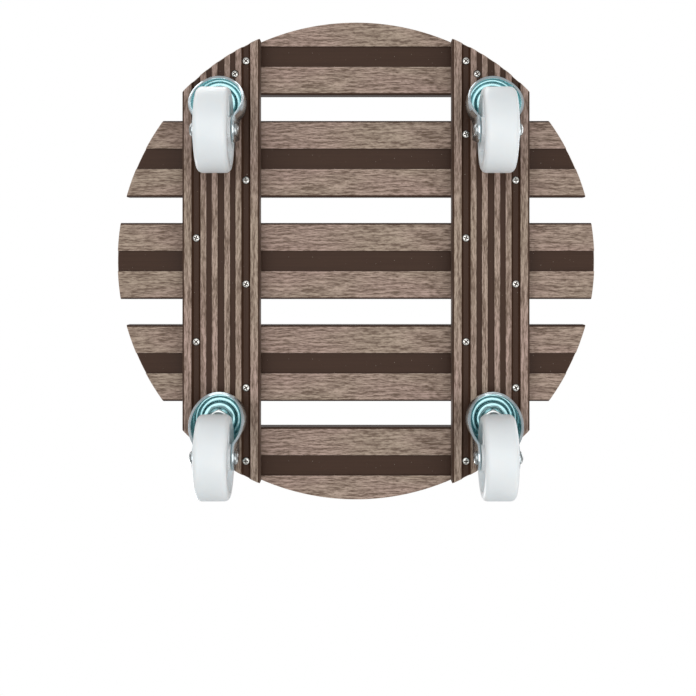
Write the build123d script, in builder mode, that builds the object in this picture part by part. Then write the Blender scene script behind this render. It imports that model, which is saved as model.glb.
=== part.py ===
from build123d import *

import os
from math import acos, atan2, copysign, degrees, pi, sqrt

# Round plant caddy: five hollow wood-plastic slats on two beams of the same board, carried by
# four swivel casters with a double ball race. Millimetres, +Z up.
#
# The slats run along Y and the beams along X. The origin is on the floor, under the deck's centre,
# and at rest every wheel trails towards -X.

# Deck
DECK_DIAMETER = 350.0
SLAT_COUNT = 5
SLAT_GAP = 19.0
BEAM_INSET = 77.5  # from the deck's rim to the middle of a beam

# Board section, shared by slats and beams: one plain face and one ribbed face
BOARD_WIDTH = 56.0
BOARD_THICKNESS = 15.0
BOARD_CORNER = 1.8
WIDE_GROOVE_OFFSET = 18.0  # to the groove's middle, from the middle of the board
WIDE_GROOVE_WIDTH = 6.7
WIDE_GROOVE_FLOOR = 3.6
WIDE_GROOVE_DEPTH = 1.9
NARROW_GROOVE_OFFSET = 8.55
NARROW_GROOVE_WIDTH = 4.0
CENTRE_GROOVE_WIDTH = 4.9
NARROW_GROOVE_DEPTH = 0.7
NARROW_GROOVE_SLOPE = 0.35
RECESS_WIDTH = 15.0  # shallow channel along the middle of the plain face
RECESS_DEPTH = 1.5
RIBBED_SKIN = 3.1  # material over the hollows
PLAIN_SKIN = 3.8  # material under the side hollows
RECESS_SKIN = 4.0  # material between the channel and the middle hollow
CENTRE_HOLLOW_WIDTH = 9.5
SIDE_HOLLOW_WIDTH = 5.0
INNER_HOLLOW_OFFSET = 11.6
OUTER_HOLLOW_OFFSET = 21.6
HOLLOW_CHAMFER = 2.1
HOLLOW_CORNER = 0.5

# Deck screws, driven up through the beams' wide grooves
SCREW_DIAMETER = 3.0
SCREW_COVER = 2.2  # left between a screw's point and the floor of a slat's wide groove
SCREW_POINT = 3.5
SCREW_HEAD_DIAMETER = 5.5
SCREW_HEAD_HEIGHT = 1.6
SCREW_HEAD_DOME = 0.5
CROSS_SLOT_LENGTH = 3.2
CROSS_SLOT_WIDTH = 0.8
CROSS_SLOT_DEPTH = 1.0
SCREW_TURN = 37.0  # degrees from one head's cross to the next
END_SCREW_OFFSET = 10.0  # the end slats' second screw, from the beam's middle
END_SCREW_INSETS = (10.0, 14.0)  # from the deck's rim to the end slats' screws
HOLE_CLEARANCE = 0.05  # radial, between a screw, bolt, rivet or tube and its hole

# Caster as a whole
WHEEL_HEADROOM = 5.7  # from the wheel up to the fork's top plate
TRAIL = 22.5  # pivot to axle
RUNNING_CLEARANCE = 0.05  # balls in their tracks, wheel on its sleeve

# Fork, pressed from sheet
SHEET = 1.8
FORK_DROP = 5.5  # beam underside to fork top
FORK_HEAD_RADIUS = 19.25
HUB_PLAY = 0.45  # from the wheel's hub to each leg
FORK_BEND = 2.6
CREASE_RADIUS = 3.0  # where the round head turns into the flat legs
SKIRT_HEIGHT = 6.4
SKIRT_FRONT = 2.5  # from the front of the head back to where the slope meets the skirt's edge
SKIRT_CORNER = 6.0
LEG_END_RADIUS = 8.7
LEG_REAR_TOP = 25.8  # behind the pivot, at the top of the leg
TONGUE_REACH = 29.0  # behind the pivot, at the middle of the top plate
TONGUE_WIDTH = 23.0
FORK_HOLE_RADIUS = 7.0

# Ball tracks, cups and the tube that holds them together
BALL_PITCH = 1.1  # from ball to ball, in ball diameters
UPPER_BALL_DIAMETER = 3.5
UPPER_TRACK_RADIUS = 13.6
UPPER_TRACK_DEPTH = 1.0  # in the top of the fork
LOWER_BALL_DIAMETER = 3.0
LOWER_TRACK_DEPTH = 0.4  # in the underside of the fork
CUP_RADIUS = 16.8
CUP_EDGE = 0.8
CUP_RIM_WALL = 0.8  # outside the balls' track
CUP_RIM_GAP = 2.1  # from the fork's top to the mounting cup's rim, where the balls show
CUP_STEP_RADIUS = 11.5
CUP_PLATE = 2.0
LOWER_CUP_SHEET = 1.3
LOWER_CUP_RIM_WALL = 0.85  # outside the balls' track
LOWER_CUP_WELL_WALL = 0.35  # inside the balls' track
LOWER_CUP_WELL_ROOM = 0.4  # round the corners of the bolt's head
LOWER_CUP_LIP = 1.2  # how far the outer lip stands above the balls' lowest point
LOWER_CUP_BEVEL = 1.0
TUBE_RADIUS = 6.0
TUBE_NECK_RADIUS = 5.0
TUBE_BOLT_PLAY = 0.15
TUBE_RIVET_RADIUS = 6.8
TUBE_RIVET_HEIGHT = 0.7

# Caster bolt, washer and nut
BOLT_DIAMETER = 8.0
BOLT_STANDOUT = 1.5  # above the nut
BOLT_TIP_CHAMFER = 0.8
BOLT_HEAD_HEIGHT = 5.3
HEX_ACROSS_FLATS = 13.0
HEX_BEVEL = 0.3  # from the flats to the bevel's edge, on the end face
HEX_BEVEL_SLOPE = 0.58
BOLT_HOLE_RADIUS = 4.5
WASHER_DIAMETER = 16.0
WASHER_THICKNESS = 1.6
NUT_HEIGHT = 6.5

# Wheel and axle
WHEEL_DIAMETER = 59.0
HUB_WIDTH = 24.0
HUB_RADIUS = 9.0
RIM_STEP = 0.6  # how far the hub stands out beyond the rim, on each side
TREAD_WIDTH = 15.6
SHOULDER_HEIGHT = 3.2
RIM_THICKNESS = 5.9
WEB_THICKNESS = 10.0
WEB_DRAFT = 0.7  # how far the recess narrows towards the web, at the hub and at the rim
WEB_CORNER = 1.6
RIB_COUNT = 3
RIB_THICKNESS = 2.4
RIB_INSET = 1.4  # below the hub's end face
SLEEVE_RADIUS = 4.0
AXLE_RADIUS = 3.0
RIVET_HEAD_RADIUS = 4.6
RIVET_HEAD_HEIGHT = 2.8
RIVET_HEAD_EDGE = 0.6

QUARTER_TURN = 90.0

# Places on the deck
deck_radius = DECK_DIAMETER / 2
slat_pitch = BOARD_WIDTH + SLAT_GAP
caster_height = WHEEL_DIAMETER + WHEEL_HEADROOM + SHEET + FORK_DROP  # floor to beam
slat_underside = caster_height + BOARD_THICKNESS
slat_places = [(i - (SLAT_COUNT - 1) / 2) * slat_pitch for i in range(SLAT_COUNT)]
beam_places = {"front": BEAM_INSET - deck_radius, "back": deck_radius - BEAM_INSET}
pivot_reach = slat_places[-1] - slat_pitch / 2  # every pivot lies in an outer slat gap
caster_places = {
    f"{end}_{side}": (sign * pivot_reach, beam_y)
    for end, beam_y in beam_places.items()
    for side, sign in (("left", -1), ("right", 1))
}
outer_web = (INNER_HOLLOW_OFFSET + OUTER_HOLLOW_OFFSET) / 2  # middle of the solid wall there
screw_seat = caster_height + WIDE_GROOVE_DEPTH
screw_length = 2 * BOARD_THICKNESS - 2 * WIDE_GROOVE_DEPTH - SCREW_COVER

# Heights and radii in the caster
wheel_radius = WHEEL_DIAMETER / 2
fork_gap = HUB_WIDTH + 2 * HUB_PLAY
leg_face = fork_gap / 2 + SHEET
rim_width = HUB_WIDTH - 2 * RIM_STEP
fork_top = caster_height - FORK_DROP
fork_underside = fork_top - SHEET
upper_track = UPPER_BALL_DIAMETER / 2 + RUNNING_CLEARANCE
upper_ball_height = fork_top - UPPER_TRACK_DEPTH + upper_track
upper_ball_count = int(2 * pi * UPPER_TRACK_RADIUS / (BALL_PITCH * UPPER_BALL_DIAMETER))
hex_corner = HEX_ACROSS_FLATS / sqrt(3)
lower_well_radius = hex_corner + LOWER_CUP_WELL_ROOM
lower_track = LOWER_BALL_DIAMETER / 2 + RUNNING_CLEARANCE
lower_track_radius = lower_well_radius + LOWER_CUP_WELL_WALL + lower_track
lower_cup_radius = lower_track_radius + lower_track + LOWER_CUP_RIM_WALL
lower_ball_count = int(2 * pi * lower_track_radius / (BALL_PITCH * LOWER_BALL_DIAMETER))
lower_ball_height = fork_underside + LOWER_TRACK_DEPTH - lower_track
lower_flange_top = lower_ball_height
lower_flange_bottom = lower_flange_top - LOWER_CUP_SHEET
bolt_seat = lower_flange_bottom - TUBE_RIVET_HEIGHT
tube_bore = BOLT_DIAMETER / 2 + TUBE_BOLT_PLAY
nut_low = slat_underside + WASHER_THICKNESS


def screws_between(slat_x, beam_y):
    """Gives the two screw places, as (x, y), where a slat crosses a beam."""
    if slat_x in (slat_places[0], slat_places[-1]):
        # The circle cuts the beam's outer groove off before it reaches the end slats.
        places = []
        for offset, inset in zip((WIDE_GROOVE_OFFSET, END_SCREW_OFFSET), END_SCREW_INSETS):
            y = abs(beam_y) - offset
            x = sqrt((deck_radius - inset) ** 2 - y**2)
            places.append((copysign(x, slat_x), copysign(y, beam_y)))
        return places
    return [
        (slat_x + outer_web, beam_y - WIDE_GROOVE_OFFSET),
        (slat_x - outer_web, beam_y + WIDE_GROOVE_OFFSET),
    ]


def board_section(plane):
    """Draws the hollow board's section: plain face on the plane's X axis, ribbed face above it."""
    top = BOARD_THICKNESS
    grooves = [(0, CENTRE_GROOVE_WIDTH, CENTRE_GROOVE_WIDTH - 2 * NARROW_GROOVE_SLOPE, NARROW_GROOVE_DEPTH)]
    for side in (-1, 1):
        floor = NARROW_GROOVE_WIDTH - 2 * NARROW_GROOVE_SLOPE
        grooves.append((side * NARROW_GROOVE_OFFSET, NARROW_GROOVE_WIDTH, floor, NARROW_GROOVE_DEPTH))
        grooves.append((side * WIDE_GROOVE_OFFSET, WIDE_GROOVE_WIDTH, WIDE_GROOVE_FLOOR, WIDE_GROOVE_DEPTH))
    high = top - RIBBED_SKIN
    middle_low = RECESS_DEPTH + RECESS_SKIN
    inner_near = INNER_HOLLOW_OFFSET - SIDE_HOLLOW_WIDTH / 2
    inner_far = INNER_HOLLOW_OFFSET + SIDE_HOLLOW_WIDTH / 2
    outer_near = OUTER_HOLLOW_OFFSET - SIDE_HOLLOW_WIDTH / 2
    outer_far = OUTER_HOLLOW_OFFSET + SIDE_HOLLOW_WIDTH / 2

    # The chamfers keep the skin thick around the wide grooves and at the channel's corners.
    with BuildSketch() as hollows:
        with Locations((0, (middle_low + high) / 2)):
            Rectangle(CENTRE_HOLLOW_WIDTH, high - middle_low)
        Polygon(
            (inner_near + HOLLOW_CHAMFER, PLAIN_SKIN),
            (inner_far, PLAIN_SKIN),
            (inner_far, high - HOLLOW_CHAMFER),
            (inner_far - HOLLOW_CHAMFER, high),
            (inner_near, high),
            (inner_near, PLAIN_SKIN + HOLLOW_CHAMFER),
            align=None,
        )
        Polygon(
            (outer_near, PLAIN_SKIN),
            (outer_far, PLAIN_SKIN),
            (outer_far, high),
            (outer_near + HOLLOW_CHAMFER, high),
            (outer_near, high - HOLLOW_CHAMFER),
            align=None,
        )
        mirror(about=Plane.YZ)
        fillet(hollows.vertices(), HOLLOW_CORNER)

    with BuildSketch(plane) as section:
        Rectangle(BOARD_WIDTH, BOARD_THICKNESS, align=(Align.CENTER, Align.MIN))
        fillet(section.vertices(), BOARD_CORNER)
        Rectangle(RECESS_WIDTH, RECESS_DEPTH, align=(Align.CENTER, Align.MIN), mode=Mode.SUBTRACT)
        for middle, width, floor, depth in grooves:
            Polygon(
                (middle - width / 2, top),
                (middle - floor / 2, top - depth),
                (middle + floor / 2, top - depth),
                (middle + width / 2, top),
                align=None,
                mode=Mode.SUBTRACT,
            )
        add(hollows.sketch, mode=Mode.SUBTRACT)
    return section.sketch


def round_ends(low):
    """Cuts a board's ends on the deck's circle."""
    with BuildSketch(Plane.XY.offset(low)) as deck_circle:
        Circle(deck_radius)
    extrude(deck_circle.sketch, amount=BOARD_THICKNESS, mode=Mode.INTERSECT)


def drill(radius, places, low, depth):
    """Drills the same round hole upwards at each place."""
    with BuildSketch(Plane.XY.offset(low)) as holes:
        with Locations(*places):
            Circle(radius)
    extrude(holes.sketch, amount=depth, mode=Mode.SUBTRACT)


def finish(piece, name):
    """Labels a finished piece and writes its file."""
    piece.part.label = name
    export_step(piece.part, f"parts/{name}.step")


os.makedirs("parts", exist_ok=True)

# Slats, ribbed face up
for number, slat_x in enumerate(slat_places, start=1):
    own_screws = [spot for beam_y in beam_places.values() for spot in screws_between(slat_x, beam_y)]
    with BuildPart() as slat:
        section = board_section(Plane((slat_x, 0, slat_underside), x_dir=(1, 0, 0), z_dir=(0, -1, 0)))
        extrude(section, amount=deck_radius, both=True)
        round_ends(slat_underside)
        drill(SCREW_DIAMETER / 2 + HOLE_CLEARANCE, own_screws, screw_seat, screw_length + HOLE_CLEARANCE)
    finish(slat, f"slat_{number}")

# One deck screw, head down, with a domed head and a cross recess
head_low = screw_seat - SCREW_HEAD_HEIGHT
head_edge = SCREW_HEAD_DIAMETER / 2
dome_radius = (head_edge**2 / SCREW_HEAD_DOME + SCREW_HEAD_DOME) / 2
with BuildPart() as screw:
    with BuildSketch(Plane.XZ):
        with BuildLine():
            shoulder = (head_edge, head_low + SCREW_HEAD_DOME)
            RadiusArc((0, head_low), shoulder, -dome_radius)
            Polyline(
                shoulder,
                (head_edge, screw_seat),
                (SCREW_DIAMETER / 2, screw_seat),
                (SCREW_DIAMETER / 2, screw_seat + screw_length - SCREW_POINT),
                (0, screw_seat + screw_length),
                (0, head_low),
            )
        make_face()
    revolve(axis=Axis.Z)
    with BuildSketch(Plane.XY.offset(head_low)):
        Rectangle(CROSS_SLOT_LENGTH, CROSS_SLOT_WIDTH)
        Rectangle(CROSS_SLOT_WIDTH, CROSS_SLOT_LENGTH)
    extrude(amount=CROSS_SLOT_DEPTH, mode=Mode.SUBTRACT)

# Beams, the same board with its ribbed face down, each with its row of screws
for end, beam_y in beam_places.items():
    own_screws = [spot for slat_x in slat_places for spot in screws_between(slat_x, beam_y)]
    own_bolts = [spot for spot in caster_places.values() if spot[1] == beam_y]
    with BuildPart() as beam:
        section = board_section(Plane((0, beam_y, slat_underside), x_dir=(0, 1, 0), z_dir=(-1, 0, 0)))
        extrude(section, amount=deck_radius, both=True)
        round_ends(caster_height)
        drill(head_edge + HOLE_CLEARANCE, own_screws, caster_height, WIDE_GROOVE_DEPTH)
        drill(SCREW_DIAMETER / 2 + HOLE_CLEARANCE, own_screws, caster_height, BOARD_THICKNESS)
        drill(BOLT_HOLE_RADIUS, own_bolts, caster_height, BOARD_THICKNESS)
    finish(beam, f"{end}_beam")
    with BuildPart() as screws:
        for turn, (x, y) in enumerate(own_screws):
            with Locations(Location((x, y, 0), (0, 0, turn * SCREW_TURN))):
                add(screw.part)
    finish(screws, f"{end}_deck_screws")

# The caster's pieces are modelled once, with the pivot on the Z axis and the wheel towards -X.
caster = {}

# Mounting cup, pressed against the beam, with the upper ball track in its underside
cup_rim = fork_top + CUP_RIM_GAP
cup_shoulder = caster_height - CUP_PLATE
cup_bore = TUBE_NECK_RADIUS + HOLE_CLEARANCE
cup_rim_radius = UPPER_TRACK_RADIUS + upper_track + CUP_RIM_WALL / 2
with BuildPart() as mounting_cup:
    with BuildSketch(Plane.XZ):
        Polygon(
            (cup_bore, caster_height),
            (CUP_RADIUS, caster_height),
            (CUP_RADIUS, caster_height - CUP_EDGE),
            (cup_rim_radius, cup_rim),
            (CUP_STEP_RADIUS, cup_rim),
            (CUP_STEP_RADIUS, cup_shoulder),
            (cup_bore, cup_shoulder),
            align=None,
        )
    revolve(axis=Axis.Z)
    with Locations((0, 0, upper_ball_height)):
        Torus(UPPER_TRACK_RADIUS, upper_track, mode=Mode.SUBTRACT)
caster["mounting_cup"] = mounting_cup

# Balls of the two races
with BuildPart() as upper_balls:
    with Locations((0, 0, upper_ball_height)):
        with PolarLocations(UPPER_TRACK_RADIUS, upper_ball_count):
            Sphere(UPPER_BALL_DIAMETER / 2)
caster["upper_balls"] = upper_balls

with BuildPart() as lower_balls:
    with Locations((0, 0, lower_ball_height)):
        with PolarLocations(lower_track_radius, lower_ball_count):
            Sphere(LOWER_BALL_DIAMETER / 2)
caster["lower_balls"] = lower_balls

# Fork: a round head with a skirt, turning into two flat legs. Its side outline is the slanted
# rear edge, the round leg end, the slope up to the front and the skirt's short lower edge.
leg_length = TRAIL + LEG_END_RADIUS
rear_run, rear_rise = TRAIL - LEG_REAR_TOP, fork_top - wheel_radius
rear_turn = acos(LEG_END_RADIUS / sqrt(rear_run**2 + rear_rise**2))
rear_angle = degrees(atan2(rear_rise, rear_run) + rear_turn)
skirt_low = fork_top - SKIRT_HEIGHT
skirt_corner = FORK_HEAD_RADIUS - SKIRT_FRONT
front_run, front_rise = TRAIL + skirt_corner, skirt_low - wheel_radius
front_turn = acos(LEG_END_RADIUS / sqrt(front_run**2 + front_rise**2))
leg_end_turn = degrees(atan2(front_rise, front_run) - front_turn) - rear_angle + 4 * QUARTER_TURN
leg_low = wheel_radius - 2 * LEG_END_RADIUS
with BuildPart() as fork:
    with BuildSketch(Plane.XY.offset(leg_low)) as outside:
        Circle(FORK_HEAD_RADIUS)
        Rectangle(leg_length + SHEET, 2 * leg_face, align=(Align.MAX, Align.CENTER))
        fillet(outside.vertices().group_by(Axis.X)[1], CREASE_RADIUS)
    extrude(amount=fork_top - leg_low)
    fillet(fork.faces().sort_by(Axis.Z)[-1].edges().sort_by(Axis.X)[1:], FORK_BEND)
    with BuildSketch(Plane.XY.offset(leg_low)) as inside:
        Circle(FORK_HEAD_RADIUS - SHEET)
        Rectangle(leg_length + 2 * SHEET, fork_gap, align=(Align.MAX, Align.CENTER))
        fillet(inside.vertices().group_by(Axis.X)[1], CREASE_RADIUS + SHEET)
    extrude(amount=fork_underside - leg_low, mode=Mode.SUBTRACT)
    ceiling = fork.edges().filter_by_position(Axis.Z, fork_underside - 0.01, fork_underside + 0.01)
    fillet(ceiling.sort_by(Axis.X)[1:], FORK_BEND - SHEET)
    with BuildSketch(Plane.XZ) as side:
        with BuildLine():
            leg_end = CenterArc((-TRAIL, wheel_radius), LEG_END_RADIUS, rear_angle, leg_end_turn)
            Polyline(
                leg_end @ 1,
                (skirt_corner, skirt_low),
                (FORK_HEAD_RADIUS + SHEET, skirt_low),
                (FORK_HEAD_RADIUS + SHEET, fork_top + SHEET),
                (-LEG_REAR_TOP, fork_top + SHEET),
                (-LEG_REAR_TOP, fork_top),
                leg_end @ 0,
            )
        make_face()
        fillet(side.vertices().sort_by_distance((skirt_corner, skirt_low, 0))[0], SKIRT_CORNER)
    extrude(amount=2 * leg_face, both=True, mode=Mode.INTERSECT)
    with BuildSketch(Plane.XY.offset(fork_underside)):
        with BuildLine():
            ThreePointArc(
                (-LEG_REAR_TOP, TONGUE_WIDTH / 2),
                (-TONGUE_REACH, 0),
                (-LEG_REAR_TOP, -TONGUE_WIDTH / 2),
            )
            Polyline(
                (-LEG_REAR_TOP, -TONGUE_WIDTH / 2),
                (SHEET - LEG_REAR_TOP, -TONGUE_WIDTH / 2),
                (SHEET - LEG_REAR_TOP, TONGUE_WIDTH / 2),
                (-LEG_REAR_TOP, TONGUE_WIDTH / 2),
            )
        make_face()
    extrude(amount=SHEET)
    # The upper ball track is pressed in, so it stands out below as a ring.
    with BuildSketch(Plane.XZ):
        ring = upper_track + SHEET
        with Locations((UPPER_TRACK_RADIUS, upper_ball_height)):
            Circle(ring)
        with Locations((UPPER_TRACK_RADIUS, fork_underside + SHEET / 2)):
            Rectangle(2 * ring, 2 * SHEET, align=(Align.CENTER, Align.MAX), mode=Mode.INTERSECT)
    revolve(axis=Axis.Z)
    with Locations((0, 0, upper_ball_height)):
        Torus(UPPER_TRACK_RADIUS, upper_track, mode=Mode.SUBTRACT)
    with Locations((0, 0, lower_ball_height)):
        Torus(lower_track_radius, lower_track, mode=Mode.SUBTRACT)
    drill(FORK_HOLE_RADIUS, [(0, 0)], leg_low, fork_top - leg_low)
    with BuildSketch(Plane.XZ):
        with Locations((-TRAIL, wheel_radius)):
            Circle(AXLE_RADIUS + HOLE_CLEARANCE)
    extrude(amount=leg_face, both=True, mode=Mode.SUBTRACT)
caster["fork"] = fork

# Lower cup: a ring trough for the lower balls round a well for the bolt's head
trough_bottom = lower_ball_height - lower_track
cup_bottom = trough_bottom - LOWER_CUP_SHEET
with BuildPart() as lower_cup:
    with BuildSketch(Plane.XZ):
        Polygon(
            (cup_bore, lower_flange_top),
            (lower_track_radius, lower_flange_top),
            (lower_track_radius, trough_bottom + LOWER_CUP_LIP),
            (lower_cup_radius, trough_bottom + LOWER_CUP_LIP),
            (lower_cup_radius, cup_bottom + LOWER_CUP_BEVEL),
            (lower_cup_radius - LOWER_CUP_BEVEL, cup_bottom),
            (lower_well_radius + LOWER_CUP_BEVEL / 2, cup_bottom),
            (lower_well_radius, cup_bottom + LOWER_CUP_BEVEL / 2),
            (lower_well_radius, lower_flange_bottom),
            (cup_bore, lower_flange_bottom),
            align=None,
        )
    revolve(axis=Axis.Z)
    with Locations((0, 0, lower_ball_height)):
        Torus(lower_track_radius, lower_track, mode=Mode.SUBTRACT)
caster["lower_cup"] = lower_cup

# Pivot tube: a shouldered tube through the cups and the fork, riveted over at its lower end
with BuildPart() as pivot_tube:
    with BuildSketch(Plane.XZ):
        Polygon(
            (tube_bore, caster_height),
            (TUBE_NECK_RADIUS, caster_height),
            (TUBE_NECK_RADIUS, cup_shoulder),
            (TUBE_RADIUS, cup_shoulder),
            (TUBE_RADIUS, lower_flange_top),
            (TUBE_NECK_RADIUS, lower_flange_top),
            (TUBE_NECK_RADIUS, lower_flange_bottom),
            (TUBE_RIVET_RADIUS, lower_flange_bottom),
            (TUBE_RIVET_RADIUS, bolt_seat),
            (tube_bore, bolt_seat),
            align=None,
        )
    revolve(axis=Axis.Z)
caster["pivot_tube"] = pivot_tube


def hex_block(low, high, bevel_low, bevel_high):
    """Makes a hexagon between two heights, with its corners bevelled at the ends asked for."""
    face = HEX_ACROSS_FLATS / 2 - HEX_BEVEL
    drop = (hex_corner - face) * HEX_BEVEL_SLOPE
    outline = [(0, low)]
    outline += [(face, low), (hex_corner, low + drop)] if bevel_low else [(hex_corner, low)]
    outline += [(hex_corner, high - drop), (face, high)] if bevel_high else [(hex_corner, high)]
    outline += [(0, high)]
    with BuildSketch(Plane.XY.offset(low)) as hexagon:
        RegularPolygon(HEX_ACROSS_FLATS / 2, 6, major_radius=False)
    extrude(hexagon.sketch, amount=high - low)
    with BuildSketch(Plane.XZ) as bevels:
        Polygon(*outline, align=None)
    revolve(bevels.sketch, axis=Axis.Z, mode=Mode.INTERSECT)


# Bolt, up through the tube and the beam, with its washer and nut in the slat gap
with BuildPart() as bolt:
    hex_block(bolt_seat - BOLT_HEAD_HEIGHT, bolt_seat, True, False)
    with BuildSketch(Plane.XY.offset(bolt_seat)):
        Circle(BOLT_DIAMETER / 2)
    extrude(amount=nut_low + NUT_HEIGHT + BOLT_STANDOUT - bolt_seat)
    chamfer(bolt.faces().sort_by(Axis.Z)[-1].edges(), BOLT_TIP_CHAMFER)
caster["bolt"] = bolt

with BuildPart() as washer:
    with BuildSketch(Plane.XY.offset(slat_underside)):
        Circle(WASHER_DIAMETER / 2)
        Circle(BOLT_HOLE_RADIUS, mode=Mode.SUBTRACT)
    extrude(amount=WASHER_THICKNESS)
caster["washer"] = washer

with BuildPart() as nut:
    hex_block(nut_low, nut_low + NUT_HEIGHT, True, True)
    drill(BOLT_DIAMETER / 2 + HOLE_CLEARANCE, [(0, 0)], nut_low, NUT_HEIGHT)
caster["nut"] = nut

# Sleeve between the legs, on which the wheel runs, and the riveted axle through it
axle_centre = (-TRAIL, 0, wheel_radius)
axle_line = Axis(axle_centre, (0, 1, 0))
across_axle = Plane(axle_centre, x_dir=(0, 1, 0), z_dir=(1, 0, 0))  # its X axis is the axle
with BuildPart() as sleeve:
    with BuildSketch(Plane(axle_centre, x_dir=(1, 0, 0), z_dir=(0, -1, 0))):
        Circle(SLEEVE_RADIUS)
        Circle(AXLE_RADIUS + HOLE_CLEARANCE, mode=Mode.SUBTRACT)
    extrude(amount=fork_gap / 2, both=True)
caster["sleeve"] = sleeve

with BuildPart() as axle:
    dome_start = leg_face + RIVET_HEAD_EDGE
    dome_depth = RIVET_HEAD_HEIGHT - RIVET_HEAD_EDGE
    with BuildSketch(across_axle):
        with BuildLine():
            Polyline(
                (0, 0),
                (0, AXLE_RADIUS),
                (leg_face, AXLE_RADIUS),
                (leg_face, RIVET_HEAD_RADIUS),
                (dome_start, RIVET_HEAD_RADIUS),
            )
            EllipticalCenterArc((dome_start, 0), dome_depth, RIVET_HEAD_RADIUS, arc_size=QUARTER_TURN)
            Line((dome_start + dome_depth, 0), (0, 0))
        make_face()
        mirror(about=Plane.YZ)
    revolve(axis=axle_line)
caster["axle"] = axle

# Wheel: a rim and a hub joined by a recessed web with radial ribs on both sides
web_low, web_high = HUB_RADIUS + WEB_DRAFT, wheel_radius - RIM_THICKNESS - WEB_DRAFT
with BuildPart() as wheel:
    with BuildSketch(across_axle) as half_section:
        with BuildLine():
            Polyline(
                (0, wheel_radius),
                (0, SLEEVE_RADIUS + RUNNING_CLEARANCE),
                (HUB_WIDTH / 2, SLEEVE_RADIUS + RUNNING_CLEARANCE),
                (HUB_WIDTH / 2, HUB_RADIUS),
                (WEB_THICKNESS / 2, web_low),
                (WEB_THICKNESS / 2, web_high),
                (rim_width / 2, wheel_radius - RIM_THICKNESS),
                (rim_width / 2, wheel_radius - SHOULDER_HEIGHT),
            )
            EllipticalCenterArc(
                (TREAD_WIDTH / 2, wheel_radius - SHOULDER_HEIGHT),
                (rim_width - TREAD_WIDTH) / 2,
                SHOULDER_HEIGHT,
                arc_size=QUARTER_TURN,
            )
            Line((TREAD_WIDTH / 2, wheel_radius), (0, wheel_radius))
        make_face()
        web_corners = half_section.vertices().filter_by(
            lambda corner: abs(corner.X - WEB_THICKNESS / 2) < 0.01
        )
        fillet(web_corners, WEB_CORNER)
        mirror(about=Plane.YZ)
    revolve(axis=axle_line)
    with BuildSketch(Plane(axle_centre, x_dir=(1, 0, 0), z_dir=(0, -1, 0))):
        with PolarLocations((web_low + web_high) / 2, RIB_COUNT):
            Rectangle(web_high - web_low + 2 * WEB_DRAFT, RIB_THICKNESS)
    extrude(amount=HUB_WIDTH / 2 - RIB_INSET, both=True)
caster["wheel"] = wheel

# Every caster piece, copied to each pivot as a piece of its own
for corner, (x, y) in caster_places.items():
    for name, model in caster.items():
        with BuildPart() as piece:
            with Locations((x, y)):
                add(model.part)
        finish(piece, f"{corner}_{name}")
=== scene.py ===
from math import pi, radians

import bpy
from mathutils import Matrix, Vector


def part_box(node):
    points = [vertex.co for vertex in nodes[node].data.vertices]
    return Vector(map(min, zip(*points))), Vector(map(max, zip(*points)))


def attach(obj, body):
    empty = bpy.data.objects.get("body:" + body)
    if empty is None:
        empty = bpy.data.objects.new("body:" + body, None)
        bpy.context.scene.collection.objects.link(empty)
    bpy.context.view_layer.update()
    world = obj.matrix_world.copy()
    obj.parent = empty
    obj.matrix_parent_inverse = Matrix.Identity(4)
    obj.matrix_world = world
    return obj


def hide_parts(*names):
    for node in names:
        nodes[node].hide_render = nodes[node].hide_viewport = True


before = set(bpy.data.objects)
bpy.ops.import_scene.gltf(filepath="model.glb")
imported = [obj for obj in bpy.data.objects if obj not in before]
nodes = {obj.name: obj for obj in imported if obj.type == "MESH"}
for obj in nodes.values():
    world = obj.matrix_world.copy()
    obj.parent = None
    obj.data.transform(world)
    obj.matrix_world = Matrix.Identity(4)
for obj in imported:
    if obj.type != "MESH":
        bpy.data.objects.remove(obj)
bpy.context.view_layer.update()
corners = ("front_left", "front_right", "back_left", "back_right")


# Boards
#
# The five slats and the two beams are lengths of one hollow board, extruded from wood flour and
# plastic. Its broad faces are brushed to an open grain, the grooves, the channel and the edges keep
# the smooth dark skin of the die, and the ends are sawn round to the deck's circle.


class Value:
    """A value that varies over a surface. Python's operators on it add the nodes that work it out."""

    def __init__(self, finish, socket):
        self.finish = finish
        self.socket = socket

    def maths(self, operation, *others):
        sockets = dict(enumerate((self, *others)))
        return self.finish.node("ShaderNodeMath", {"operation": operation}, sockets)

    def __add__(self, other):
        return self.maths("ADD", other)

    def __mul__(self, other):
        return self.maths("MULTIPLY", other)

    def __sub__(self, other):
        return self.maths("SUBTRACT", other)

    def __pow__(self, other):
        return self.maths("POWER", other)

    def __rsub__(self, other):
        return self * -1 + other

    def __abs__(self):
        return self.maths("ABSOLUTE")

    def wrapped(self, half):
        """Repeats the value between -half and +half."""
        return self.maths("WRAP", half, -half)

    def at_least(self, other):
        return self.maths("MAXIMUM", other)

    def at_most(self, other):
        return self.maths("MINIMUM", other)

    def rising(self, low, high):
        """0 up to low, 1 from high on, and smooth between them."""
        sockets = {"Value": self, "From Min": low, "From Max": high}
        return self.finish.node("ShaderNodeMapRange", {"interpolation_type": "SMOOTHSTEP"}, sockets)

    def falling(self, low, high):
        return 1 - self.rising(low, high)


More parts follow.
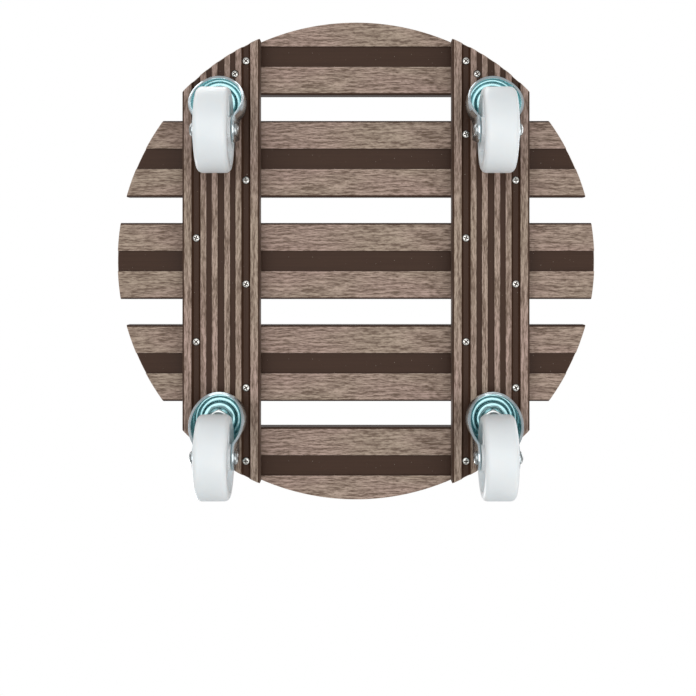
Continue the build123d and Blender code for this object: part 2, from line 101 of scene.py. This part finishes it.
class Finish:
    """A surface finish, built up node by node from the object's own coordinates in millimetres."""

    def __init__(self, name):
        self.material = bpy.data.materials.new(name)
        self.material.use_nodes = True
        self.tree = self.material.node_tree
        self.tree.nodes.clear()
        metres = {0: self.node("ShaderNodeTexCoord", out="Object"), "Scale": 1000}
        self.place = self.node("ShaderNodeVectorMath", {"operation": "SCALE"}, metres)
        self.x = self.node("ShaderNodeSeparateXYZ", {}, {0: self.place}, out="X")
        self.y = Value(self, self.x.socket.node.outputs["Y"])
        self.z = Value(self, self.x.socket.node.outputs["Z"])

    def node(self, kind, settings=None, sockets=None, out=0):
        """Adds a node of any kind, with its settings first, and returns the output asked for."""
        node = self.tree.nodes.new(kind)
        for key, setting in (settings or {}).items():
            setattr(node, key, setting)
        for key, value in (sockets or {}).items():
            if isinstance(value, Value):
                self.tree.links.new(value.socket, node.inputs[key])
            else:
                node.inputs[key].default_value = value
        return Value(self, node.outputs[out])

    def point(self, x, y, z):
        return self.node("ShaderNodeCombineXYZ", {}, {0: x, 1: y, 2: z})

    def mixed(self, share, first, second):
        """Goes from the first colour to the second as share goes from 0 to 1."""
        sockets = {0: share}
        for key, colour in ((6, first), (7, second)):
            sockets[key] = colour if isinstance(colour, Value) else (*colour, 1)
        return self.node("ShaderNodeMix", {"data_type": "RGBA"}, sockets, out=2)

    def grain(self, vector, size, detail=2.0, roughness=0.5):
        """Soft noise between 0 and 1, with features of about that size in millimetres."""
        sockets = {"Vector": vector, "Scale": 1 / size, "Detail": detail, "Roughness": roughness}
        return self.node("ShaderNodeTexNoise", {}, sockets)

    def surface(self, relief=None, depth=0.1, **sockets):
        """Ends the finish in its shader. Relief is a height between 0 and 1, depth in millimetres."""
        named = {key.replace("_", " "): value for key, value in sockets.items()}
        if "Base Color" in named and not isinstance(named["Base Color"], Value):
            named["Base Color"] = (*named["Base Color"], 1)
        if relief is not None:
            bump = {"Height": relief, "Distance": depth / 1000, "Strength": 1.0}
            named["Normal"] = self.node("ShaderNodeBump", {}, bump)
        return self.shown_by(self.node("ShaderNodeBsdfPrincipled", {}, named))

    def shown_by(self, shader):
        """Makes a shader the one that the material shows."""
        end = self.tree.nodes.new("ShaderNodeOutputMaterial")
        self.tree.links.new(shader.socket, end.inputs["Surface"])
        return self.material


def written(red, green, blue):
    """The colour that shows as these screen values, from 11 to 255."""
    return tuple(((value / 255 + 0.055) / 1.055) ** 2.4 for value in (red, green, blue))


def distance(right, up):
    """How far a place is from where both values are 0."""
    return (right**2 + up**2).maths("SQRT")


deck_radius, slat_pitch, slat_underside, beam_middle = 175.0, 75.0, 87.0, 97.5
half_board, half_thickness = 28.0, 7.5
hollows = (  # middle, half width, lower and upper side, and the corners that are cut off
    (0.0, 4.75, 5.5, 11.9, ()),
    (11.6, 2.5, 3.8, 11.9, ((1, 1), (-1, -1))),
    (21.6, 2.5, 3.8, 11.9, ((-1, 1),)),
)
corner_cut, slant = 2.1, 0.707


def board_finish(finish, across, height, along, flank):
    """The board's finish. Across is measured from the board's middle, height from its plain face."""
    brushed = abs(height - half_thickness).rising(half_thickness - 0.14, half_thickness - 0.02)
    sawn = distance(finish.x, finish.y).rising(deck_radius - 0.3, deck_radius - 0.1)

    # Brushing leaves fine streaks along the board, short dark pores and paler fibres between them.
    sway = finish.grain(finish.point(across * 0.4, along, height), 16.0) * 1.6
    wavy, shallow = across + sway, height * 0.3
    streaks = finish.grain(finish.point(wavy, along * 0.08, shallow), 1.7, 3.0, 0.65)
    fibres = finish.grain(finish.point(wavy, along * 0.14, shallow), 0.75, 2.0, 0.6)
    pores = finish.grain(finish.point(wavy, along * 0.25, shallow), 0.9, 2.0, 0.7)
    pores = pores.rising(0.56, 0.68)
    patches = finish.grain(finish.point(across, along * 0.35, height), 38.0, 2.0)
    patches = patches.rising(0.35, 0.65)
    tone = streaks * 0.55 + fibres * 0.45
    light = finish.mixed(patches, written(190, 171, 153), written(194, 168, 156))
    wood = finish.mixed(tone.rising(0.37, 0.63), written(112, 93, 80), light)
    wood = finish.mixed(pores * 0.5, wood, written(94, 75, 63))

    # The skin carries faint draw lines from the die, and a few pale flecks of dust and burr.
    side = abs(across)
    lines = finish.grain(finish.point(across, along * 0.01, height), 0.7, 2.0)
    flecks = finish.grain(finish.point(across * 0.7, along, height), 0.9, 1.0).rising(0.77, 0.82)
    skin = finish.mixed(lines, written(57, 35, 22), written(72, 49, 35))
    # The sides take the flank colour: near the skin's own tone on the slats, and paler on the beams
    # as painted light.
    skin = finish.mixed(side.rising(half_board - 0.4, half_board - 0.1), skin, flank)
    skin = finish.mixed(flecks, skin, written(150, 138, 126))

    # Sawing tears the ends pale and rough, paler still where burrs stand round the hollows.
    rim = None
    for middle, half, low, high, cuts in hollows:
        right, up = side - middle, height - (low + high) / 2
        depth = (high - low) / 2
        away = (abs(right) - half).at_least(abs(up) - depth)
        for cut_right, cut_up in cuts:
            beyond = right * cut_right + up * cut_up - (half + depth - corner_cut)
            away = away.at_least(beyond * slant)
        rim = away if rim is None else rim.at_most(away)
    saw_lines = finish.grain(finish.point(across * 0.05, along * 0.05, height), 0.45, 3.0, 0.6)
    chips = finish.grain(finish.point(across, along, height), 0.9, 3.0, 0.65)
    torn = (saw_lines * 0.6 + chips * 0.4).rising(0.3, 0.7)
    burrs = rim.falling(0.3, 0.7) * chips.rising(0.3, 0.55) * 0.8
    cut = finish.mixed(torn, written(150, 128, 115), written(204, 182, 167))
    cut = finish.mixed(burrs, cut, written(222, 208, 196))

    colour = finish.mixed(brushed, skin, wood)
    colour = finish.mixed(sawn, colour, cut)
    rough = brushed.at_least(sawn) * 0.3 + 0.42 + chips * 0.1
    relief = (tone * 0.7 - pores * 0.5 + 0.5) * brushed * (1 - sawn) + lines * 0.15
    relief = relief + (saw_lines * 0.5 + chips * 0.5) * sawn
    return finish.surface(relief, 0.12, Base_Color=colour, Roughness=rough, Specular_IOR_Level=0.2)


slat_finish = Finish("slat_board")
slat_material = board_finish(
    slat_finish,
    across=slat_finish.x.wrapped(slat_pitch / 2),
    height=slat_finish.z - slat_underside,
    along=slat_finish.y,
    flank=written(66, 47, 38),
)
beam_finish = Finish("beam_board")
beam_material = board_finish(
    beam_finish,
    across=abs(beam_finish.y) - beam_middle,
    height=slat_underside - beam_finish.z,
    along=beam_finish.x,
    # Painted light: the beams' sides are paler than the die's dark skin.
    flank=written(104, 86, 75),
)


def dress(piece, material):
    """Gives a piece one finish, in place of any others."""
    piece.data.materials.clear()
    piece.data.materials.append(material)


for number in range(1, 6):
    dress(nodes[f"slat_{number}"], slat_material)
for end in ("front", "back"):
    dress(nodes[f"{end}_beam"], beam_material)


# Zinc-plated pieces of the casters
#
# Cups, fork, tube and washer are pressed or turned steel with a thin blue-passivated zinc coat, a
# little scratched from handling and cloudy where the bath dried on it.

pivot_x, fork_room, skirt_inside, fork_ceiling, legs_front = 112.5, 12.5, 17.5, 65.6, -10.0


def zinc(name, pale, dull, roughness, inside=None):
    """Zinc-plated steel, from its brighter to its duller tone, and a darker, bluer colour painted
    inside the casters as shade.
    """
    finish = Finish(name)
    cloud = finish.grain(finish.place, 14.0, 3.0, 0.55)
    spangle = finish.grain(finish.place, 0.7, 2.0, 0.7)
    level = finish.point(finish.x * 0.5, finish.y * 0.5, finish.z * 4)
    scratches = finish.grain(level, 1.1, 3.0, 0.7)
    colour = finish.mixed(cloud.rising(0.3, 0.7), pale, dull)
    # Painted shade: inside the skirt and between the fork's legs, below the fork's top, the zinc
    # turns to the darker, bluer inside colour.
    if inside is not None:
        ahead = (finish.x + pivot_x).wrapped(pivot_x)
        aside = (finish.y + beam_middle).wrapped(beam_middle)
        in_skirt = distance(ahead, aside).falling(skirt_inside, skirt_inside + 0.3)
        between_legs = abs(aside).falling(fork_room, fork_room + 0.3)
        between_legs = between_legs * ahead.falling(legs_front, legs_front + 1)
        covered = finish.z.falling(fork_ceiling, fork_ceiling + 0.4)
        colour = finish.mixed(in_skirt.at_least(between_legs) * covered, colour, inside)
    colour = finish.mixed(spangle.rising(0.66, 0.8) * 0.2, colour, written(130, 138, 140))
    rough = cloud * 0.08 + scratches.rising(0.55, 0.75) * 0.1 + roughness
    relief = scratches * 0.6 + spangle * 0.4
    return finish.surface(relief, 0.02, Base_Color=colour, Roughness=rough, Metallic=1.0)


# The inside colour is painted shade, darker and bluer than the zinc.
zinc_material = zinc(
    "zinc_steel", written(226, 236, 240), written(200, 214, 220), 0.17, inside=written(172, 212, 216)
)


# Shaping
#
# Small pieces are turned, cut, joined and rounded once, and then copied to each of their places.


def chosen(piece):
    """Makes a piece the only one that the operators act on."""
    bpy.ops.object.select_all(action="DESELECT")
    piece.select_set(True)
    bpy.context.view_layer.objects.active = piece


def turned(name, outline, middle, axis, steps):
    """Turns a closed outline round an axis through the middle, a place in metres.

    The outline's points are (radius, place along the axis) in millimetres.
    """
    bpy.ops.object.select_all(action="DESELECT")
    bpy.ops.mesh.primitive_circle_add(vertices=len(outline), radius=0.01)
    piece = bpy.context.object
    piece.name = name
    axis = Vector(axis)
    outward = axis.orthogonal().normalized()
    for vertex, (radius, along) in zip(piece.data.vertices, outline):
        vertex.co = Vector(middle) + outward * radius / 1000 + axis * along / 1000
    bpy.ops.object.mode_set(mode="EDIT")
    bpy.ops.mesh.select_all(action="SELECT")
    bpy.ops.mesh.spin(steps=steps, angle=2 * pi, center=middle, axis=axis)
    bpy.ops.mesh.select_all(action="SELECT")
    bpy.ops.mesh.remove_doubles(threshold=0.00001)
    bpy.ops.mesh.normals_make_consistent(inside=False)
    bpy.ops.object.mode_set(mode="OBJECT")
    return piece


def block(name, low, high):
    """A plain block between two corners in millimetres, as a start or as a cutter."""
    bpy.ops.object.select_all(action="DESELECT")
    low, high = Vector(low) / 1000, Vector(high) / 1000
    bpy.ops.mesh.primitive_cube_add(size=1, location=(low + high) / 2, scale=high - low)
    bpy.ops.object.transform_apply()
    bpy.context.object.name = name
    return bpy.context.object


def joined_by(piece, tools, operation):
    """Adds the tools to a piece, or cuts them out of it, and throws them away."""
    for tool in tools:
        chosen(piece)
        modifier = piece.modifiers.new(operation, "BOOLEAN")
        modifier.operation = operation
        modifier.solver = "EXACT"
        modifier.object = tool
        bpy.ops.object.modifier_apply(modifier=modifier.name)
        bpy.data.objects.remove(tool)


def rounded(piece, width, angle, segments=2):
    """Rounds the edges that turn by more than an angle in degrees, and shades the piece smooth."""
    chosen(piece)
    modifier = piece.modifiers.new("rounding", "BEVEL")
    modifier.width = width / 1000
    modifier.segments = segments
    modifier.limit_method = "ANGLE"
    modifier.angle_limit = radians(angle)
    bpy.ops.object.modifier_apply(modifier=modifier.name)
    bpy.ops.object.shade_smooth_by_angle(angle=radians(40))


def copied(piece, name, shift, turn=0.0):
    """A copy with its own mesh, turned about the Z axis and moved by a shift in metres."""
    twin = piece.copy()
    twin.data = piece.data.copy()
    twin.data.transform(Matrix.Translation(shift) @ Matrix.Rotation(turn, 4, "Z"))
    twin.name = name
    bpy.context.scene.collection.objects.link(twin)
    return twin


def united(pieces, name):
    """Makes one piece of several."""
    chosen(pieces[0])
    for piece in pieces:
        piece.select_set(True)
    bpy.ops.object.join()
    pieces[0].name = name
    return pieces[0]


# Deck screws
#
# Pan-head screws of bright zinc-plated steel, driven up through the beams' wide grooves. Painted
# shade darkens their cross recesses and the rims of the heads where they sit in their holes.

seat, head_edge, shank = 73.9, 2.75, 1.5
screw = turned(
    "screw",
    [(0, 72.3), (1.1, 72.38), (2.0, 72.62), (2.55, 72.95), (head_edge, 73.3), (head_edge, seat),
     (shank, seat), (shank, 94.4), (0, 97.9)],
    (0, 0, 0), (0, 0, 1), 24,
)
slot_half, slot_side, slot_low, slot_high = 1.75, 0.45, 71, 73.5
bars = [
    block("slot", (-right, -up, slot_low), (right, up, slot_high))
    for right, up in ((slot_half, slot_side), (slot_side, slot_half))
]
joined_by(screw, bars, "DIFFERENCE")
rounded(screw, 0.12, 35)

screw_finish = Finish("screw_steel")
smudge = screw_finish.grain(screw_finish.place, 1.4, 2.0)
# Painted shade: the recess and the head's rim, above 72.75 mm, turn dark brown and rougher.
painted_recess_shade = screw_finish.z.rising(72.75, 73.1)
bright = screw_finish.mixed(smudge, written(226, 224, 218), written(248, 246, 240))
screw_material = screw_finish.surface(
    smudge,
    0.02,
    Base_Color=screw_finish.mixed(painted_recess_shade, bright, written(70, 62, 56)),
    Metallic=1.0,
    Roughness=smudge * 0.15 + painted_recess_shade * 0.3 + 0.18,
)
dress(screw, screw_material)

for end in ("front", "back"):
    node = nodes[f"{end}_deck_screws"]
    top = max(vertex.co.z for vertex in node.data.vertices)
    tips = [vertex.co for vertex in node.data.vertices if vertex.co.z > top - 1e-6]
    points = {(round(tip.x, 5), round(tip.y, 5)) for tip in tips}
    row = united(
        [
            copied(screw, f"{end}_screw", (x, y, 0), turn=1.3 * turn)
            for turn, (x, y) in enumerate(sorted(points))
        ],
        f"{end}_screw_row",
    )
    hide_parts(f"{end}_deck_screws")
    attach(row, "deck")
bpy.data.objects.remove(screw)


# Pressed parts
#
# The press leaves a small radius on every sheared edge of the forks, cups and washers, and on the
# closed lip of the pivot tube.

for piece_name, width in (
    ("fork", 0.3), ("mounting_cup", 0.2), ("lower_cup", 0.2), ("pivot_tube", 0.15), ("washer", 0.15)
):
    first_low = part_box(f"front_left_{piece_name}")[0]
    pressing = bpy.data.objects.new("pressing", nodes[f"front_left_{piece_name}"].data.copy())
    bpy.context.scene.collection.objects.link(pressing)
    chosen(pressing)
    if pressing.data.has_custom_normals:
        bpy.ops.mesh.customdata_custom_splitnormals_clear()
    bpy.ops.object.mode_set(mode="EDIT")
    bpy.ops.mesh.select_all(action="SELECT")
    bpy.ops.mesh.remove_doubles(threshold=0.000004)
    bpy.ops.mesh.dissolve_limited(angle_limit=radians(0.5))
    bpy.ops.mesh.normals_make_consistent(inside=False)
    bpy.ops.object.mode_set(mode="OBJECT")
    rounded(pressing, width, 38)
    dress(pressing, zinc_material)
    for corner in corners:
        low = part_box(f"{corner}_{piece_name}")[0]
        twin = copied(pressing, f"{corner}_pressed_{piece_name}", low - first_low)
        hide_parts(f"{corner}_{piece_name}")
        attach(twin, f"{corner}_swivelling_fork" if piece_name == "fork" else "deck")
    bpy.data.objects.remove(pressing)


# Bolts and nuts
#
# An M8 bolt goes up through each caster and its beam. Its bevelled hexagon head shows inside the
# fork, and its threaded end stands out of the nut in the gap between two slats.

bolt_material = zinc("bolt_steel", written(222, 226, 226), written(190, 196, 196), 0.2)
half_flats, flats_to_corners = 6.5, 0.8660254


def hexagon(name, low, high, outline):
    """A hexagon of the bolt's size, cut to the round shape of an outline."""
    bpy.ops.object.select_all(action="DESELECT")
    bpy.ops.mesh.primitive_cylinder_add(
        vertices=6,
        radius=half_flats / 1000 / flats_to_corners,
        depth=(high - low) / 1000,
        location=(0, 0, (low + high) / 2000),
    )
    piece = bpy.context.object
    piece.name = name
    piece.data.transform(Matrix.Translation(piece.location) @ Matrix.Rotation(hexagon_turn, 4, "Z"))
    piece.location = (0, 0, 0)
    joined_by(piece, [turned("round", outline, (0, 0, 0), (0, 0, 1), 96)], "INTERSECT")
    return piece


low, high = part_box("front_left_bolt")
hexagon_turn = radians(30) if high.x - low.x > high.y - low.y else 0.0
pivot = (low + high) / 2
head_low, tip = low.z * 1000, high.z * 1000
seat, nut_low, nut_high = head_low + 5.3, tip - 8.0, tip - 1.5
face, past_corners, bevel = 6.2, 7.6, 0.8

head = hexagon(
    "head", head_low, seat,
    [(0, head_low + 0.35), (4.4, head_low + 0.35), (4.9, head_low), (face, head_low),
     (past_corners, head_low + bevel), (past_corners, seat + 0.1), (0, seat + 0.1)],
)
root, crest, thread_pitch = 3.5, 3.98, 1.25
thread = []
height = nut_low - 3.0
while height < tip - 1.4:
    thread += [(root, height), (crest, height + 0.5), (crest, height + 0.62), (root, height + 1.12)]
    height += thread_pitch
shank = turned(
    "shank",
    [(0, seat - 1), (4, seat - 1), (4, nut_low - 3.4), *thread, (root, tip - 0.6), (3.0, tip),
     (0, tip)],
    (0, 0, 0), (0, 0, 1), 48,
)
joined_by(head, [shank], "UNION")
rounded(head, 0.15, 32)
nut = hexagon(
    "nut", nut_low, nut_high,
    [(4.9, nut_low), (face, nut_low), (past_corners, nut_low + bevel),
     (past_corners, nut_high - bevel), (face, nut_high), (4.9, nut_high),
     (4.05, nut_high - 0.85), (4.05, nut_low + 0.85)],
)
rounded(nut, 0.15, 32)


# Balls and axles
#
# Both races of each caster are full of bright balls. The axle is a rivet with domed heads, a little
# flattened where they were closed, and a sleeve of the same steel keeps the fork's legs apart.


def ring_of_balls(name, node, diameter, count):
    """A full race of balls round the Z axis, as wide and as high up as a node."""
    low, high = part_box(node)
    bpy.ops.object.select_all(action="DESELECT")
    bpy.ops.mesh.primitive_uv_sphere_add(segments=24, ring_count=14, radius=diameter / 2000)
    ball = bpy.context.object
    track = (high.x - low.x) * 500 - diameter / 2
    ball.data.transform(Matrix.Translation((track / 1000, 0, (low.z + high.z) / 2)))
    balls = [copied(ball, name, (0, 0, 0), turn=2 * pi * number / count) for number in range(count)]
    bpy.data.objects.remove(ball)
    ring = united(balls, name)
    bpy.ops.object.shade_smooth()
    return ring


upper_ring = ring_of_balls("upper_ring", "front_left_upper_balls", diameter=3.5, count=22)
lower_ring = ring_of_balls("lower_ring", "front_left_lower_balls", diameter=3.0, count=18)
ball_finish = Finish("ball_steel")
ball_material = ball_finish.surface(
    Base_Color=written(225, 228, 230),
    Metallic=1.0,
    Roughness=ball_finish.grain(ball_finish.place, 2.0) * 0.1 + 0.08,
)

rivet_material = zinc("rivet_steel", written(205, 208, 208), written(170, 175, 176), 0.22)
low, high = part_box("front_left_axle")
axle_middle = (low + high) / 2
axle_end = (high.y - low.y) * 500
head_base = axle_end - 2.8
half_outline = [
    (3.0, head_base), (4.6, head_base), (4.6, head_base + 0.6), (4.35, head_base + 1.35),
    (3.7, head_base + 2.05), (2.7, head_base + 2.55), (1.7, head_base + 2.8),
    (1.3, head_base + 2.72), (0, head_base + 2.6),
]
axle = turned(
    "axle",
    half_outline + [(r, -a) for r, a in reversed(half_outline)],
    axle_middle - Vector((pivot.x, pivot.y, 0)), (0, 1, 0), 48,
)
rounded(axle, 0.2, 32)
for corner in corners:
    dress(nodes[f"{corner}_sleeve"], rivet_material)

for piece, material in (
    (head, bolt_material),
    (nut, bolt_material),
    (upper_ring, ball_material),
    (lower_ring, ball_material),
    (axle, rivet_material),
):
    dress(piece, material)
for corner in corners:
    low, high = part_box(f"{corner}_bolt")
    place = ((low.x + high.x) / 2, (low.y + high.y) / 2, 0)
    for piece, name, node, slot, body in (
        (head, "hexagon_bolt", "bolt", "bolt_steel", "deck"),
        (nut, "hexagon_nut", "nut", "bolt_steel", "deck"),
        (upper_ring, "upper_race", "upper_balls", "ball_steel", "deck"),
        (lower_ring, "lower_race", "lower_balls", "ball_steel", "deck"),
        (axle, "axle_rivet", "axle", "rivet_steel", f"{corner}_swivelling_fork"),
    ):
        twin = copied(piece, f"{corner}_{name}", place)
        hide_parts(f"{corner}_{node}")
        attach(twin, body)
for piece in (head, nut, upper_ring, lower_ring, axle):
    bpy.data.objects.remove(piece)


# Wheels
#
# Each wheel is one moulding of milky nylon that lets a little light through: a rim and a hub with a
# sunken web between them, and three ribs on either side of it. Every edge is left a little round.

wheel_finish = Finish("wheel_nylon")
milky = wheel_finish.grain(wheel_finish.place, 22.0, 2.0)
wheel_material = wheel_finish.surface(
    wheel_finish.grain(wheel_finish.place, 3.0, 2.0),
    0.03,
    Base_Color=wheel_finish.mixed(milky, written(234, 240, 243), written(244, 247, 248)),
    Roughness=wheel_finish.grain(wheel_finish.place, 5.0, 2.0) * 0.15 + 0.28,
    Subsurface_Weight=0.6,
    Subsurface_Radius=(1.0, 1.1, 1.15),
    Subsurface_Scale=0.004,
)

low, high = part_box("front_left_wheel")
wheel_middle = (low + high) / 2
radius, hub_half, rim_half, web_half = 29.5, 12.0, 11.4, 5.0
half_outline = [
    (4.05, hub_half), (9.0, hub_half), (9.35, 8.5), (9.7, web_half), (22.9, web_half), (23.3, 8.4),
    (23.6, rim_half), (26.3, rim_half), (27.5, 11.1), (28.6, 10.2), (29.25, 9.1), (radius, 7.8),
]
rib_start, rib_end, rib_low, rib_high, half_rib = 8.8, 23.9, 3.0, 10.6, 1.2
wheel = turned(
    "wheel",
    half_outline + [(r, -a) for r, a in reversed(half_outline)],
    wheel_middle, (0, 1, 0), 96,
)
ribs = []
for turn in (0, 120, 240):
    for side in (-1, 1):
        near, far = sorted((side * rib_low, side * rib_high))
        rib = block("rib", (rib_start, near, -half_rib), (rib_end, far, half_rib))
        turning = Matrix.Rotation(radians(-turn), 4, "Y")
        rib.data.transform(Matrix.Translation(wheel_middle) @ turning)
        ribs.append(rib)
joined_by(wheel, ribs, "UNION")
rounded(wheel, 0.7, 32, 3)
dress(wheel, wheel_material)
for corner in corners:
    low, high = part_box(f"{corner}_wheel")
    moulding = copied(wheel, f"{corner}_wheel_moulding", (low + high) / 2 - wheel_middle)
    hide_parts(f"{corner}_wheel")
    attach(moulding, f"{corner}_rolling_wheel")
bpy.data.objects.remove(wheel)


# Studio
#
# A pale floor that fades out with distance and can only be seen from above, large soft lamps over
# and under it, and white all round.

bpy.ops.mesh.primitive_plane_add(size=8.0)
floor = bpy.context.object
floor.name = "floor"
floor_finish = Finish("floor")
seen = floor_finish.node("ShaderNodeLightPath", out="Is Camera Ray")
below = floor_finish.node("ShaderNodeNewGeometry", out="Backfacing")
paint = floor_finish.node("ShaderNodeBsdfDiffuse", {}, {"Color": (0.86, 0.86, 0.86, 1)})
clear = floor_finish.node("ShaderNodeBsdfTransparent")
fade_start, fade_end = 450, 1900
close_by = distance(floor_finish.x, floor_finish.y).falling(fade_start, fade_end)
shares = {0: seen * (1 - below) * close_by, 1: clear, 2: paint}
shown = floor_finish.node("ShaderNodeMixShader", {}, shares)
floor.data.materials.append(floor_finish.shown_by(shown))

room_light, room_white = 0.47, 1.0
world = bpy.data.worlds.new("white_room")
bpy.context.scene.world = world
world.use_nodes = True
room = world.node_tree
room.nodes.clear()
path = room.nodes.new("ShaderNodeLightPath")
straight = room.nodes.new("ShaderNodeMath")
straight.operation = "MAXIMUM"
room.links.new(path.outputs["Is Camera Ray"], straight.inputs[0])
room.links.new(path.outputs["Is Transmission Ray"], straight.inputs[1])
level = room.nodes.new("ShaderNodeMapRange")
level.inputs["To Min"].default_value = room_light
level.inputs["To Max"].default_value = room_white
room.links.new(straight.outputs[0], level.inputs["Value"])
glow = room.nodes.new("ShaderNodeBackground")
glow.inputs["Color"].default_value = (1, 1, 1, 1)
room.links.new(level.outputs[0], glow.inputs["Strength"])
room_out = room.nodes.new("ShaderNodeOutputWorld")
room.links.new(glow.outputs[0], room_out.inputs["Surface"])

lamps_aim = Vector((0, 0, 0.08))


def lamp(name, place, size, power):
    """A soft square lamp that faces the middle of the deck."""
    light = bpy.data.lights.new(name, "AREA")
    light.shape = "SQUARE"
    light.size = size
    light.energy = power
    holder = bpy.data.objects.new(name, light)
    holder.location = place
    towards = lamps_aim - Vector(place)
    holder.rotation_euler = towards.to_track_quat("-Z", "Y").to_euler()
    holder.visible_camera = False
    bpy.context.scene.collection.objects.link(holder)


lamp("key_above", (-0.7, -0.9, 1.1), 0.9, 9.0)
lamp("fill_above", (1.0, -0.3, 0.8), 0.9, 5.0)
lamp("back_above", (0.2, 1.1, 0.9), 0.9, 5.0)
lamp("key_below", (0.1, -0.15, -1.15), 1.3, 7.0)
lamp("fill_below", (-0.4, 0.75, -0.95), 0.8, 2.5)
lamp("strip_front", (0.9, -1.0, 0.3), 0.5, 1.6)
lamp("strip_back", (-0.9, 1.0, 0.3), 0.5, 1.6)


# Camera
#
# The larger of the photograph's two views: straight up from under the middle of the deck.

eye_depth = 0.8
camera = bpy.data.cameras.new("camera")
camera.sensor_width = 36.0
camera.lens = 62.5
camera.shift_x = -0.0115
camera.shift_y = -0.125
holder = bpy.data.objects.new("camera", camera)
holder.matrix_world = Matrix(((0, 1, 0, 0), (1, 0, 0, 0), (0, 0, -1, -eye_depth), (0, 0, 0, 1)))
bpy.context.scene.collection.objects.link(holder)
bpy.context.scene.camera = holder
bpy.context.scene.view_settings.view_transform = "Standard"
